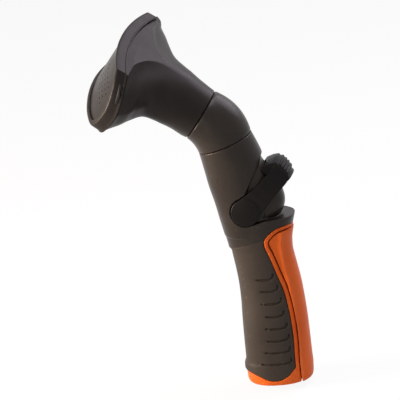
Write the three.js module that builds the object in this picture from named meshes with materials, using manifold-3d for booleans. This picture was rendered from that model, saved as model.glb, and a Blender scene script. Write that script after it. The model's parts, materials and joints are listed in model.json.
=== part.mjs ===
// Garden hose spray nozzle: upright handle with a thumb valve, a short elbow and a wide fan head.
// Millimetres, +Z up along the handle. The origin is the centre of the hose inlet's end face.
// -X is the spray side, +X the thumb side, and the handle is symmetric about Y = 0.
import * as THREE from "three";
import { mergeVertices } from "three/addons/utils/BufferGeometryUtils.js";
import Module from "manifold-3d";

const wasm = await Module();
wasm.setup();

// Shared fits
const GAP = 0.3; // between fixed pieces that touch
const RUN = 0.35; // round a turning piece

// Handle
const HANDLE_WIDTH = 37.4; // side to side at the palm
const FRONT_STOP = 95; // height of the finger stop, at the front
const COLLAR_BACK = 107.5; // height of the grip's upper edge, at the back
const SHELF = 115; // shelf behind the valve
const BASE_RING = 7.6; // height of the ring that shows under the grip
const GRIP_THICK = 2.8;
const RIM_WIDTH = 2.5; // line of frame that shows round the back insert
const SPINE_PROUD = 0.9;
const SPINE_THICK = 3.4;

// Hose inlet
const SOCKET_RADIUS = 13; // takes a 3/4 inch hose thread
const SOCKET_WALL = 2.2;
const SOCKET_DEPTH = 13.5;
const WATER_RADIUS = 7;

// Thumb valve
const PIVOT = new THREE.Vector3(-9.8, 0, 122.4);
const LEAN = 13; // of the water way through the valve, forward from upright
const DRUM_RADIUS = 11.5;
const DRUM_HALF = 10.5;
const STUB_RADIUS = 6;
const KEY_HALF = 3.2; // square end of each stub
const KEY_LENGTH = 2;
const PORT_SLOT = 6.4; // slot through the drum
const PORT_LENGTH = 12;
const SEAT_SLOT = 5.6; // slot in each seat, closed when the drum has turned
const SEAT_LENGTH = 11.5;
const CORE_HALF = 14.6; // half width of the housing between the lever's arms
const ARM_THICK = 3.6;
const ARM_ANGLE = 46; // of the lever's middle line, above level
const DISC_RADIUS = 10.3;
const LEVER_SWING = 35;

// Elbow and fan head
const SEAM_B = new THREE.Vector3(-19.9, 0, 166.6);
const TILT_B = 17.3; // forward tilt of the lower seam's axis
const TILT_A = 52.6; // forward tilt of the head's axis
const BEND_RADIUS = 39.7;
const NECK_RADIUS = 18.6; // at the lower seam
const THROAT_RADIUS = 17.3; // at the upper seam
const ELBOW_BORE = 11;
const SPIGOT_WALL = 2.4;
const SPIGOT_LENGTH = 9;
const HEAD_ROLL = 20; // the head is turned about its axis by this much
const MOUTH_HALF = 50;
const MOUTH_TOP = 24.1;
const MOUTH_CREASE = 34.4; // half width of the head's flat top at the mouth
const FACE_RADIUS = 84; // curve of the face across its width
const FACE_REACH = 72.3; // from the upper seam to the middle of the mouth
const BEZEL_DEPTH = 7;
const BEZEL_WALL = 2.2;
const BEZEL_LIP = 0.9; // the bezel stands this far outside the shell
const PLATE_RECESS = 1.6;
const PLATE_THICK = 2;
const GASKET_THICK = 1.2;
const BEZEL_CATCH = 0.9; // the bezel overhangs the plate by this much
const SHELL_WALL = 1.9;
const HOLE_ROWS = 4;
const HOLES_PER_ROW = 18;
const HOLE_PITCH = 4.3;
const HOLE_RADIUS = 0.55;

const AROUND = 28; // points round a lofted section
const INSIDE = 16; // points round a hidden one
const FACE_STEPS = 20; // flats across the curved face

const rad = THREE.MathUtils.degToRad;
const lerp = THREE.MathUtils.lerp;

// Finishes
const finish = (color, roughness) => new THREE.MeshStandardMaterial({ color, roughness, metalness: 0 });
const BLACK = 0x2b2624;
const RUBBER = 0x262220;
const ORANGE = 0xd95a1c;
const SEAL = 0x1c1c1c;
const WHITE = 0xd8d6cf;

// Solids from geometries, always facing outwards
function solid(geometry) {
  const bare = geometry.index ? geometry.toNonIndexed() : geometry.clone();
  bare.deleteAttribute("normal");
  bare.deleteAttribute("uv");
  const merged = mergeVertices(bare, 1e-4);
  const make = (index) =>
    new wasm.Manifold(
      new wasm.Mesh({
        numProp: 3,
        vertProperties: merged.attributes.position.array,
        triVerts: index,
      }),
    );
  const index = new Uint32Array(merged.index.array);
  const made = make(index);
  if (made.volume() > 0) return made;
  return make(index.reverse());
}

function geometryOf(body) {
  const mesh = body.getMesh();
  const geometry = new THREE.BufferGeometry();
  const positions = new Float32Array(mesh.numVert * 3);
  for (let i = 0; i < mesh.numVert; i++) {
    positions.set(mesh.vertProperties.subarray(i * mesh.numProp, i * mesh.numProp + 3), i * 3);
  }
  geometry.setAttribute("position", new THREE.BufferAttribute(positions, 3));
  geometry.setIndex(new THREE.BufferAttribute(mesh.triVerts, 1));
  geometry.computeVertexNormals();
  return geometry;
}

const part = new THREE.Group();
function add(name, body, material) {
  const mesh = new THREE.Mesh(geometryOf(body), material);
  mesh.name = name;
  part.add(mesh);
}

// Places a solid made about its own Z axis: moved to a point, tilted forward, and rolled about its axis first
function placed(body, point, tilt = 0, roll = 0) {
  const matrix = new THREE.Matrix4().makeTranslation(point.x, point.y, point.z);
  matrix.multiply(new THREE.Matrix4().makeRotationY(rad(-tilt)));
  matrix.multiply(new THREE.Matrix4().makeRotationZ(rad(roll)));
  return body.transform(matrix.elements);
}

// A round piece about Z from its half profile of [radius, height] points
function revolved(profile, segments = 24) {
  const points = profile.map(([r, z]) => new THREE.Vector2(r, z));
  if (profile[0][0] > 0) points.push(points[0].clone());
  const lathe = new THREE.LatheGeometry(points, segments);
  return solid(lathe.rotateX(Math.PI / 2));
}

const tube = (inner, outer, low, high, segments) =>
  revolved([[inner, low], [outer, low], [outer, high], [inner, high]], segments);
const rod = (radius, low, high, segments) =>
  revolved([[0, low], [radius, low], [radius, high], [0, high]], segments);

// A seal ring of round section about Z
function sealRing(radius, section, height) {
  const ring = new THREE.TorusGeometry(radius, section, 5, 20);
  return solid(ring.translate(0, 0, height));
}

// A side view outline in X and Z, made solid from one Y to another
function slab(points, fromY, toY) {
  const shape = new THREE.Shape(points.map(([x, z]) => new THREE.Vector2(x, z)));
  const made = new THREE.ExtrudeGeometry(shape, { depth: toY - fromY, bevelEnabled: false });
  return solid(made.rotateX(Math.PI / 2).translate(0, toY, 0));
}

// Joins closed rings of points into one closed solid
function loft(rings) {
  const count = rings[0].length;
  const positions = rings.flat().flatMap((p) => [p.x, p.y, p.z]);
  const index = [];
  for (let k = 0; k + 1 < rings.length; k++) {
    for (let j = 0; j < count; j++) {
      const a = k * count + j;
      const b = k * count + ((j + 1) % count);
      index.push(a, b, b + count, a, b + count, a + count);
    }
  }
  for (const [ring, flip] of [[0, true], [rings.length - 1, false]]) {
    const middle = new THREE.Vector3();
    rings[ring].forEach((p) => middle.add(p));
    middle.divideScalar(count);
    const centre = positions.length / 3;
    positions.push(middle.x, middle.y, middle.z);
    for (let j = 0; j < count; j++) {
      const a = ring * count + j;
      const b = ring * count + ((j + 1) % count);
      if (flip) index.push(centre, b, a);
      else index.push(centre, a, b);
    }
  }
  const geometry = new THREE.BufferGeometry();
  geometry.setAttribute("position", new THREE.Float32BufferAttribute(positions, 3));
  geometry.setIndex(index);
  return solid(geometry);
}

// A rounded section across the handle or body, in a plane tilted forward
function section({ x, z, tilt = 0, depth, half, power = 2.2 }, inset = 0, count = AROUND) {
  const points = [];
  for (let j = 0; j < count; j++) {
    const angle = (2 * Math.PI * j) / count;
    const c = Math.cos(angle);
    const s = Math.sin(angle);
    const u = Math.sign(c) * Math.abs(c) ** (2 / power) * (depth - inset);
    const v = Math.sign(s) * Math.abs(s) ** (2 / power) * (half - inset);
    points.push(new THREE.Vector3(x + u * Math.cos(rad(tilt)), v, z + u * Math.sin(rad(tilt))));
  }
  return points;
}

// Handle outline: height, front, back, and share of the full width
const PALM = [
  [2.5, -22, 19.9, 0.97],
  [BASE_RING, -22.6, 21.1, 1.005],
  [17, -22, 21.5, 1.01],
  [28, -21.8, 21.4, 1],
  [42, -21.5, 21.2, 0.985],
  [57, -20.9, 20.4, 0.96],
  [69, -21, 19.3, 0.94],
  [80, -21.9, 17.6, 0.93],
  [89, -23.2, 16.3, 0.935],
  [97, -25, 16.5, 0.955],
  [105, -26.8, 18.2, 0.975],
  [SHELF, -28.9, 21, 0.99],
];
const palmStation = ([z, front, back, share]) => ({
  x: (front + back) / 2,
  z,
  depth: (back - front) / 2,
  half: (share * HANDLE_WIDTH) / 2,
});
const palmRings = (inset) => PALM.map((row) => section(palmStation(row), inset));

// A hidden surface inside the handle, from below the base up to the shelf, with every other station
function insideHandle(inset, bottom) {
  const rows = PALM.filter((row, i) => i % 2 === 1);
  const foot = { ...palmStation(PALM[0]), z: bottom };
  return loft([foot, ...rows.map(palmStation)].map((station) => section(station, inset, INSIDE)));
}

// The plane where the grip ends and the valve body begins rises towards the back
const collarFront = -27;
const collarBackX = 20;
const collarRise = (COLLAR_BACK - FRONT_STOP) / (collarBackX - collarFront);
const collarAt = (x) => FRONT_STOP + (x - collarFront) * collarRise;
const aboveCollar = (lift) =>
  slab([[-60, collarAt(-60) + lift], [60, collarAt(60) + lift], [60, 200], [-60, 200]], -40, 40);
const belowCollar = (drop) =>
  slab([[-60, -20], [60, -20], [60, collarAt(60) - drop], [-60, collarAt(-60) - drop]], -40, 40);

// Front edge of the orange rim in the side view, from the top of the back down to the base
const RIM = [[19, 106.8], [10.5, 106], [4, 103.6], [0.4, 99], [-0.2, 94.5], [2.2, 88.5], [5.4, 79], [8, 67],
  [10, 51], [11.2, 34], [11.6, 20], [11.4, 10], [11.4, -20]];
function rimRegion(offset) {
  const curve = new THREE.CatmullRomCurve3(RIM.map(([x, z]) => new THREE.Vector3(x, 0, z)));
  const steps = 26;
  const points = [];
  for (let i = 0; i <= steps; i++) {
    const p = curve.getPoint(i / steps);
    const t = curve.getTangent(i / steps);
    points.push([p.x - t.z * offset, p.z + t.x * offset]);
  }
  const [, topZ] = points[0];
  return slab([...points, [45, -20], [45, topZ]], -40, 40);
}

// Handle frame, grip and back insert
function buildHandle() {
  const outer = loft([section(palmStation([0, -20.4, 17.6, 0.89])), ...palmRings(0)]);
  const core = insideHandle(GRIP_THICK + GAP, 0.5).intersect(belowCollar(GAP));
  const baseRing = outer.intersect(slab([[-60, -1], [60, -1], [60, BASE_RING], [-60, BASE_RING]], -40, 40));
  const rimBand = outer.intersect(rimRegion(0)).intersect(belowCollar(GAP));
  const spineCut = rimRegion(RIM_WIDTH);
  const inner = insideHandle(SPINE_THICK, -1);
  let frame = core.add(baseRing).add(rimBand);
  frame = frame.subtract(spineCut.subtract(inner));
  const socketOuter = SOCKET_RADIUS + SOCKET_WALL + GAP;
  const screenSeat = SOCKET_DEPTH + 4;
  frame = frame.subtract(rod(socketOuter, -1, screenSeat, 28));
  frame = frame.subtract(rod(WATER_RADIUS, -1, 200, 28));
  const plug = placed(rod(SPIGOT.socket, -SPIGOT.depth - GAP, 40, 32), SPIGOT.top, LEAN);
  frame = frame.subtract(plug);
  add("handle_frame", frame, finish(ORANGE, 0.45));

  const shell = outer.intersect(belowCollar(GAP)).subtract(insideHandle(GRIP_THICK, -3));
  let grip = shell.subtract(slab([[-60, -5], [60, -5], [60, BASE_RING + GAP], [-60, BASE_RING + GAP]], -40, 40));
  grip = grip.subtract(rimRegion(-GAP));
  for (const tool of gripGrooves()) grip = grip.subtract(tool);
  add("grip_sleeve", grip, finish(RUBBER, 0.62));

  const proud = loft([section(palmStation([0.6, -20.6, 18, 0.9])), ...palmRings(-SPINE_PROUD)]);
  const spine = proud
    .subtract(insideHandle(SPINE_THICK - GAP, -1))
    .intersect(rimRegion(RIM_WIDTH + 0.5))
    .intersect(belowCollar(GAP + 2.6));
  add("back_spine", spine, finish(ORANGE, 0.42));
}

// Eight hooked grooves on each side of the grip, from the top one down: [front, back, height]
const GROOVES = [
  [-10.1, 2.4, 74.7],
  [-7.6, 4.6, 66.4],
  [-6.1, 6.1, 57.7],
  [-5.2, 7, 48.8],
  [-5.3, 8.1, 40.3],
  [-6.3, 8.4, 31.8],
  [-8.4, 8.4, 23.5],
  [-12.3, 8.6, 15.3],
];
const GROOVE_WIDTH = 1;
const GROOVE_DEPTH = 1.1;
const GROOVE_HOOK = 3; // rise of each groove's back end
function gripGrooves() {
  const tools = [];
  const bed = insideHandle(GROOVE_DEPTH, -1);
  for (const [front, back, z] of GROOVES) {
    const low = z - GROOVE_WIDTH / 2;
    const top = z + GROOVE_WIDTH / 2;
    const bend = back - 2 * GROOVE_WIDTH;
    const outline = [
      [front, low], [bend, low], [back - GROOVE_WIDTH / 3, low + GROOVE_WIDTH], [back, z + GROOVE_HOOK],
      [back - GROOVE_WIDTH, z + GROOVE_HOOK], [bend, top], [front, top],
    ];
    tools.push(slab(outline, -40, 40).subtract(bed));
  }
  return tools;
}

// Spigot of the valve body in the top of the handle frame
const SPIGOT = {
  radius: 11.4,
  socket: 11.4 + GAP,
  depth: 9,
  top: new THREE.Vector3(-3.2, 0, 98),
};

// Side view of the lever pocket: behind the body's crease, above the shelf
const CREASE = [[3.3, 157], [1.2, 152], [-3.7, 144], [-8.6, 135]];

const bodyStations = [
  { x: -9, z: 104, tilt: 0, depth: 17.9, half: 18 },
  { x: -10.3, z: 116, tilt: 4, depth: 18.7, half: 18.5 },
  { x: -12.2, z: 128.5, tilt: 8, depth: 18.9, half: 18.8 },
  { x: -14.6, z: 141.9, tilt: 11, depth: 19.4, half: 19 },
  { x: -15.9, z: 152.3, tilt: 14, depth: 19.9, half: 19 },
  { x: SEAM_B.x, z: SEAM_B.z, tilt: TILT_B, depth: NECK_RADIUS, half: NECK_RADIUS, power: 2 },
];

// The rounded barrel between the lever's arms: height and back
const BARREL = [[113, 9.5], [116, 12.4], [121, 14.8], [126, 15.4], [132, 14.2], [138, 11.6], [144, 8.4], [150, 4.6],
  [156, 1], [161, -3]];

function buildBody() {
  const collar = loft(palmRings(0)).intersect(aboveCollar(0));
  let shell = loft(bodyStations.map((s) => section(s)));
  shell = shell.intersect(aboveCollar(0));
  const pocket = slab([...CREASE, [PIVOT.x, 134], [PIVOT.x, SHELF], [60, SHELF], [60, 157]], -40, 40);
  shell = shell.subtract(pocket);
  const ringCut = DISC_RADIUS + 0.7;
  const barrel = loft(
    BARREL.map(([z, back]) => section({ x: (back - 24) / 2, z, depth: (back + 24) / 2, half: CORE_HALF, power: 2.3 })),
  );
  const across = (radius, from, to, segments = 32) =>
    rod(radius, from, to, segments).transform(
      new THREE.Matrix4().makeTranslation(PIVOT.x, 0, PIVOT.z).multiply(new THREE.Matrix4().makeRotationX(rad(90)))
        .elements,
    );
  // the barrel stays inside the shell at the front
  let body = collar.add(shell);
  const sweep = leverSweep();
  for (const [from, to] of [[CORE_HALF + GAP, 40], [-40, -CORE_HALF - GAP]]) {
    body = body.subtract(across(ringCut, from, to, 40));
  }
  body = body.subtract(sweep);
  body = body.add(barrel);
  const spigot = placed(rod(SPIGOT.radius, -SPIGOT.depth, 16, 32), SPIGOT.top, LEAN);
  body = body.add(spigot);
  const groove = placed(tube(SPIGOT.radius - 1.6, SPIGOT.radius + 1, -6, -3.6, 32), SPIGOT.top, LEAN);
  body = body.subtract(groove);
  // water way, drum bore and the socket for the elbow
  const way = placed(rod(WATER_RADIUS, -60, 60, 28), PIVOT, LEAN);
  body = body.subtract(way);
  body = body.subtract(across(DRUM_RADIUS + RUN, -40, 40));
  const elbowSocket = placed(rod(ELBOW_BORE + SPIGOT_WALL + GAP, -SPIGOT_LENGTH - GAP, 5, 32), SEAM_B, TILT_B);
  body = body.subtract(elbowSocket);
  for (const high of [true, false]) body = body.subtract(seatRing(high, GAP));
  add("valve_body", body, finish(BLACK, 0.5));
  const ring = placed(sealRing(SPIGOT.radius - 0.65, 0.62, -4.8), SPIGOT.top, LEAN);
  add("body_o_ring", ring, finish(SEAL, 0.7));
}

// Shaped seal that rides on the drum, above or below it
function seatRing(high, clearance = 0) {
  const near = DRUM_RADIUS - 3;
  const far = DRUM_RADIUS + 3.4;
  const low = high ? near : -far;
  const top = high ? far : -near;
  const block = rod(WATER_RADIUS + 1.6 + clearance, low - clearance, top + clearance, 28);
  if (clearance) return placed(block, PIVOT, LEAN);
  const drum = rod(DRUM_RADIUS + RUN, -40, 40, 32).transform(new THREE.Matrix4().makeRotationX(rad(90)).elements);
  const slot = solid(new THREE.BoxGeometry(SEAT_SLOT, SEAT_LENGTH, 60));
  return placed(block.subtract(drum).subtract(slot), PIVOT, LEAN);
}

// Outline of the lever in the side view, along and across its middle line from the pivot
const ARM_LOW = [[8, -8.4], [20, -9.2], [27, -10]];
const PAD_FRONT = [[34.8, 9.9], [31.5, 6.4]];
const PAD_BACK = [[42.9, 5.7], [43.4, 1], [41.6, -5.2], [37.5, -9.6], [34.4, -10]];
const ARM_HIGH = [[30, 3.9], [23.7, 10], [12, 9.9]];
const RIDGES = 5;
const RIDGE_HEIGHT = 0.9;

// The ridged back of the pad, as points between its corners
function ridgedBack() {
  const curve = new THREE.CatmullRomCurve3(PAD_BACK.map(([a, p]) => new THREE.Vector3(a, p, 0)));
  const steps = RIDGES * 4;
  const points = [];
  for (let i = 0; i <= steps; i++) {
    const at = curve.getPoint(i / steps);
    const wave = (1 - Math.cos((2 * Math.PI * RIDGES * i) / steps)) / 2;
    const out = new THREE.Vector2(at.x - 30, at.y).normalize();
    points.push([at.x - out.x * RIDGE_HEIGHT * wave, at.y - out.y * RIDGE_HEIGHT * wave]);
  }
  return points;
}

function leverPoint([along, across], angle = ARM_ANGLE) {
  const c = Math.cos(rad(angle));
  const s = Math.sin(rad(angle));
  return [PIVOT.x + along * c - across * s, PIVOT.z + along * s + across * c];
}

function discArc(radius, from, to, steps) {
  const points = [];
  for (let i = 0; i <= steps; i++) {
    const a = rad(lerp(from, to, i / steps));
    points.push([radius * Math.cos(a), radius * Math.sin(a)]);
  }
  return points;
}

// The whole side of the lever: disc, arm and pad
function leverSide(grow = 0) {
  const arc = discArc(DISC_RADIUS + grow, 88, 272, 20);
  const low = ARM_LOW.map(([a, p]) => [a, p - grow]);
  const high = ARM_HIGH.map(([a, p]) => [a, p + grow]);
  return [...arc, ...low, ...ridgedBack().reverse(), ...PAD_FRONT, ...high];
}

// Room for the arms in the sides of the body, over the whole swing
function leverSweep() {
  const room = 0.7;
  let sweep = null;
  const steps = 5;
  for (let i = 0; i <= steps; i++) {
    const outline = leverSide(room).map((p) => leverPoint(p, ARM_ANGLE - (LEVER_SWING * i) / steps));
    for (const [from, to] of [[CORE_HALF + GAP, 40], [-40, -CORE_HALF - GAP]]) {
      const piece = slab(outline, from, to);
      sweep = sweep ? sweep.add(piece) : piece;
    }
  }
  return sweep;
}

function buildValve() {
  const lie = new THREE.Matrix4().makeRotationX(rad(90));
  const atPivot = (body, lean = 0) => placed(body.transform(lie.elements), PIVOT, lean);
  let drum = rod(DRUM_RADIUS, -DRUM_HALF, DRUM_HALF, 32);
  drum = drum.add(rod(STUB_RADIUS, -CORE_HALF + 0.2, CORE_HALF - 0.2, 20));
  for (const side of [1, -1]) {
    drum = drum.subtract(
      placed(tube(STUB_RADIUS - 1.1, STUB_RADIUS + 1, -1, 1, 20), new THREE.Vector3(0, 0, side * 13)),
    );
  }
  const keyReach = 2 * (CORE_HALF + GAP + KEY_LENGTH);
  const key = solid(new THREE.BoxGeometry(2 * KEY_HALF, 2 * KEY_HALF, keyReach));
  drum = drum.add(key);
  const slot = solid(new THREE.BoxGeometry(PORT_SLOT, 60, PORT_LENGTH));
  add("valve_spool", atPivot(drum.subtract(slot), LEAN), finish(WHITE, 0.4));

  for (const [name, side] of [["left", -1], ["right", 1]]) {
    const low = DRUM_HALF + 0.25;
    const bush = tube(STUB_RADIUS + RUN, DRUM_RADIUS, low, CORE_HALF, 28);
    const turned = side > 0 ? -90 : 90;
    const flip = new THREE.Matrix4().makeTranslation(PIVOT.x, 0, PIVOT.z)
      .multiply(new THREE.Matrix4().makeRotationX(rad(turned)));
    add("spool_bush_" + name, bush.transform(flip.elements), finish(WHITE, 0.45));
    const ring = sealRing(STUB_RADIUS - 0.42, 0.62, 13);
    add("spool_o_ring_" + name, ring.transform(flip.elements), finish(SEAL, 0.7));
  }
  add("outlet_seat", seatRing(true), finish(SEAL, 0.6));
  add("inlet_seat", seatRing(false), finish(SEAL, 0.6));

  const outline = leverSide().map((p) => leverPoint(p));
  const inner = CORE_HALF + 2 * GAP;
  const outer = inner + ARM_THICK;
  let lever = slab(outline, inner, outer).add(slab(outline, -outer, -inner));
  const pad = [...ridgedBack().reverse(), ...PAD_FRONT, [30, 3.9], [27.6, -7], [27.6, -9.9], [30, -9.95]];
  lever = lever.add(slab(pad.map((p) => leverPoint(p)), -outer, outer));
  const keyRoom = solid(new THREE.BoxGeometry(
    2 * (KEY_HALF + 0.15), 2 * (KEY_HALF + 0.15), keyReach + 2 * GAP));
  lever = lever.subtract(atPivot(keyRoom, LEAN));
  add("thumb_lever", lever, finish(BLACK, 0.48));
}

// Centre line of the bend, from the lower seam (0) to the upper seam (1)
function bendAt(share) {
  const tilt = lerp(TILT_B, TILT_A, share);
  const hub = new THREE.Vector2(
    SEAM_B.x - BEND_RADIUS * Math.cos(rad(TILT_B)),
    SEAM_B.z - BEND_RADIUS * Math.sin(rad(TILT_B)),
  );
  return {
    x: hub.x + BEND_RADIUS * Math.cos(rad(tilt)),
    z: hub.y + BEND_RADIUS * Math.sin(rad(tilt)),
    tilt,
  };
}
const seamA = bendAt(1);
const SEAM_A = new THREE.Vector3(seamA.x, 0, seamA.z);

function buildElbow() {
  const steps = 5;
  const outside = [];
  const inside = [];
  for (let i = 0; i <= steps; i++) {
    const share = i / steps;
    const at = bendAt(share);
    const radius = lerp(NECK_RADIUS, THROAT_RADIUS, share);
    outside.push(section({ ...at, depth: radius, half: radius, power: 2 }));
    inside.push(section({ ...at, depth: ELBOW_BORE, half: ELBOW_BORE, power: 2 }, 0, INSIDE));
  }
  const lift = (ring, tilt, by) =>
    ring.map((p) => new THREE.Vector3(p.x - by * Math.sin(rad(tilt)), p.y, p.z + by * Math.cos(rad(tilt))));
  outside[0] = lift(outside[0], TILT_B, GAP);
  let elbow = loft(outside);
  const spigotRadius = ELBOW_BORE + SPIGOT_WALL;
  elbow = elbow.add(placed(rod(spigotRadius, -SPIGOT_LENGTH, 3, 32), SEAM_B, TILT_B));
  elbow = elbow.add(placed(rod(spigotRadius, -3, SWIVEL.end, 32), SEAM_A, TILT_A));
  const bore = loft([lift(inside[0], TILT_B, -20), ...inside, lift(inside[steps], TILT_A, 30)]);
  elbow = elbow.subtract(bore);
  const notch = (low, high, deep) => tube(spigotRadius - deep, spigotRadius + 2, low, high, 32);
  elbow = elbow.subtract(placed(notch(-6.4, -4.2, 1.3), SEAM_B, TILT_B));
  elbow = elbow.subtract(placed(notch(SWIVEL.seal - 1.1, SWIVEL.seal + 1.1, 1.3), SEAM_A, TILT_A));
  elbow = elbow.subtract(placed(notch(SWIVEL.ring - GAP, SWIVEL.ring + 1.6 + GAP, 1.2), SEAM_A, TILT_A));
  add("elbow", elbow, finish(BLACK, 0.5));
  add("elbow_o_ring", placed(sealRing(spigotRadius - 0.5, 0.62, -5.3), SEAM_B, TILT_B), finish(SEAL, 0.7));
  add("head_o_ring", placed(sealRing(spigotRadius - 0.5, 0.62, SWIVEL.seal), SEAM_A, TILT_A), finish(SEAL, 0.7));

  // split snap ring
  const snap = tube(spigotRadius - 0.9, spigotRadius + 1.5, SWIVEL.ring, SWIVEL.ring + 1.6, 32);
  const split = solid(new THREE.BoxGeometry(20, 3, 20).translate(spigotRadius, 0, SWIVEL.ring));
  add("swivel_ring", placed(snap.subtract(split), SEAM_A, TILT_A), finish(WHITE, 0.35));
}

// Places along the head's axis from the upper seam
const SWIVEL = { seal: 4, ring: 8.4, end: 11.5 };

// Mouth outline: flat top between two creases, rounded corners, nearly straight ends
function mouthPoint(j) {
  const quarter = AROUND / 4;
  const half = j <= 2 * quarter ? j : AROUND - j;
  const side = j <= 2 * quarter ? 1 : -1;
  const flat = 4; // steps from the middle of the top to the crease
  let w;
  let t;
  if (half <= flat) {
    w = (MOUTH_CREASE * half) / flat;
    t = MOUTH_TOP;
  } else {
    const at = (half - flat) / (2 * quarter - flat);
    const angle = lerp(50, -90, at);
    const c = Math.max(Math.cos(rad(angle)), 0);
    const s = Math.sin(rad(angle));
    w = MOUTH_HALF * c ** (2 / 4.2);
    t = Math.sign(s) * MOUTH_TOP * Math.abs(s) ** (2 / 4.2);
  }
  return [t, side * w];
}

// Round section of the head's root, with its points spread to match the mouth's
function throatPoint(j, radius) {
  const half = j <= AROUND / 2 ? j : AROUND - j;
  const side = j <= AROUND / 2 ? 1 : -1;
  const flat = 4;
  const crease = 12;
  const angle = half <= flat ? (crease * half) / flat : lerp(crease, 180, (half - flat) / (AROUND / 2 - flat));
  return [radius * Math.cos(rad(angle)), side * radius * Math.sin(rad(angle))];
}

// Head sections: how far out on the middle line, setback of the ends, spread from tube to mouth
const HEAD = [
  [0, 0, 0],
  [12, 0, 0.005],
  [24, 0.5, 0.02],
  [33, 1.5, 0.08],
  [41, 4, 0.22],
  [47, 7, 0.42],
  [53.5, 10.5, 0.65],
  [60, 14, 0.86],
];
const faceSetback = (w) => FACE_RADIUS - Math.sqrt(FACE_RADIUS ** 2 - w ** 2);
const mouthSetback = faceSetback(MOUTH_HALF);

// One section of the head; inset moves it inwards
function headRing(reach, setback, spread, inset = 0) {
  const points = [];
  const radius = lerp(THROAT_RADIUS, THROAT_RADIUS + 1.6, Math.min(reach / 20, 1));
  for (let j = 0; j < AROUND; j++) {
    const [mt, mw] = mouthPoint(j);
    const [ct, cw] = throatPoint(j, radius);
    const t = lerp(ct, mt, spread);
    const w = lerp(cw, mw, spread);
    const wide = lerp(radius, MOUTH_HALF, spread);
    const high = lerp(radius, MOUTH_TOP, spread);
    const a = reach - setback * (w / wide) ** 2;
    points.push(new THREE.Vector3(t * (1 - inset / high), w * (1 - inset / wide), a));
  }
  return points;
}

// A section that follows the face's own curve
function faceRing(reach, inset) {
  return mouthOutline(inset).map(([t, w]) => new THREE.Vector3(t, w, reach - faceSetback(w)));
}

function mouthOutline(inset) {
  const outline = [];
  for (let j = 0; j < AROUND; j++) {
    const [t, w] = mouthPoint(j);
    outline.push([t * (1 - inset / MOUTH_TOP), w * (1 - inset / MOUTH_HALF)]);
  }
  return outline;
}

// The mouth's outline carried along the head's axis
function mouthPrism(inset) {
  const shape = new THREE.Shape(mouthOutline(inset).map(([t, w]) => new THREE.Vector2(t, w)));
  return solid(new THREE.ExtrudeGeometry(shape, { depth: FACE_REACH + 20, bevelEnabled: false }));
}

// The space between two curved surfaces that are parallel to the face along the axis
function faceLayer(low, high) {
  const edge = 1.1 * MOUTH_HALF;
  const line = (reach, i) => {
    const w = lerp(-edge, edge, i / FACE_STEPS);
    return new THREE.Vector2(w, reach - faceSetback(w));
  };
  const steps = [...Array(FACE_STEPS + 1).keys()];
  const points = [...steps.map((i) => line(high, i)), ...steps.reverse().map((i) => line(low, i))];
  const made = new THREE.ExtrudeGeometry(new THREE.Shape(points), { depth: 120, bevelEnabled: false });
  const turn = new THREE.Matrix4().makeBasis(
    new THREE.Vector3(0, 1, 0), new THREE.Vector3(0, 0, 1), new THREE.Vector3(1, 0, 0));
  return solid(made.translate(0, 0, -60).applyMatrix4(turn));
}

const intoHead = (body) => placed(body, SEAM_A, TILT_A, -HEAD_ROLL);

function buildHead() {
  const bezelBack = FACE_REACH - BEZEL_DEPTH;
  const plateFront = FACE_REACH - PLATE_RECESS;
  const plateBack = plateFront - PLATE_THICK;
  const gasketFront = plateBack - GAP;
  const gasketBack = gasketFront - GASKET_THICK;
  const tongueInset = BEZEL_WALL + GAP;
  const mouthInset = tongueInset + SHELL_WALL;
  let shell = loft([
    ...HEAD.map(([reach, setback, spread], k) => headRing(k ? reach : GAP, setback, spread)),
    faceRing(bezelBack - 1, BEZEL_LIP),
    faceRing(bezelBack + BEZEL_DEPTH, BEZEL_LIP),
  ]).intersect(faceLayer(-90, bezelBack - GAP));
  shell = shell.add(mouthPrism(tongueInset).intersect(faceLayer(bezelBack - 3, gasketBack - GAP)));
  const cavity = loft([
    ...HEAD.slice(1).map(([reach, setback, spread]) => headRing(reach + SHELL_WALL, setback, spread, SHELL_WALL)),
    faceRing(bezelBack - 2.5, mouthInset),
    faceRing(bezelBack + 30, mouthInset),
  ]);
  shell = shell.subtract(cavity);
  const spigotRadius = ELBOW_BORE + SPIGOT_WALL;
  shell = shell.subtract(rod(spigotRadius + RUN, -5, SWIVEL.ring + 1, 28));
  shell = shell.subtract(rod(THROAT_RADIUS - SHELL_WALL + 0.4, SWIVEL.ring - GAP, 14, 28));
  add("head_shell", intoHead(shell), finish(BLACK, 0.5));

  let bezel = mouthPrism(0).intersect(faceLayer(bezelBack, FACE_REACH));
  bezel = bezel.subtract(mouthPrism(BEZEL_WALL).intersect(faceLayer(0, plateFront + GAP)));
  bezel = bezel.subtract(mouthPrism(BEZEL_WALL + BEZEL_CATCH));
  add("bezel", intoHead(bezel), finish(BLACK, 0.46));

  let plate = mouthPrism(tongueInset).intersect(faceLayer(plateBack, plateFront));
  for (const [t, w, fan] of sprayHoles()) {
    const hole = new THREE.CylinderGeometry(HOLE_RADIUS, HOLE_RADIUS, 3 * PLATE_THICK, 5);
    hole.rotateX(Math.PI / 2 - fan);
    hole.translate(t, w, (plateFront + plateBack) / 2 - faceSetback(w));
    plate = plate.subtract(solid(hole));
  }
  add("spray_plate", intoHead(plate), finish(BLACK, 0.42));

  const gasket = mouthPrism(tongueInset).subtract(mouthPrism(mouthInset))
    .intersect(faceLayer(gasketBack, gasketFront));
  add("plate_gasket", intoHead(gasket), finish(SEAL, 0.7));
}

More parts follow.
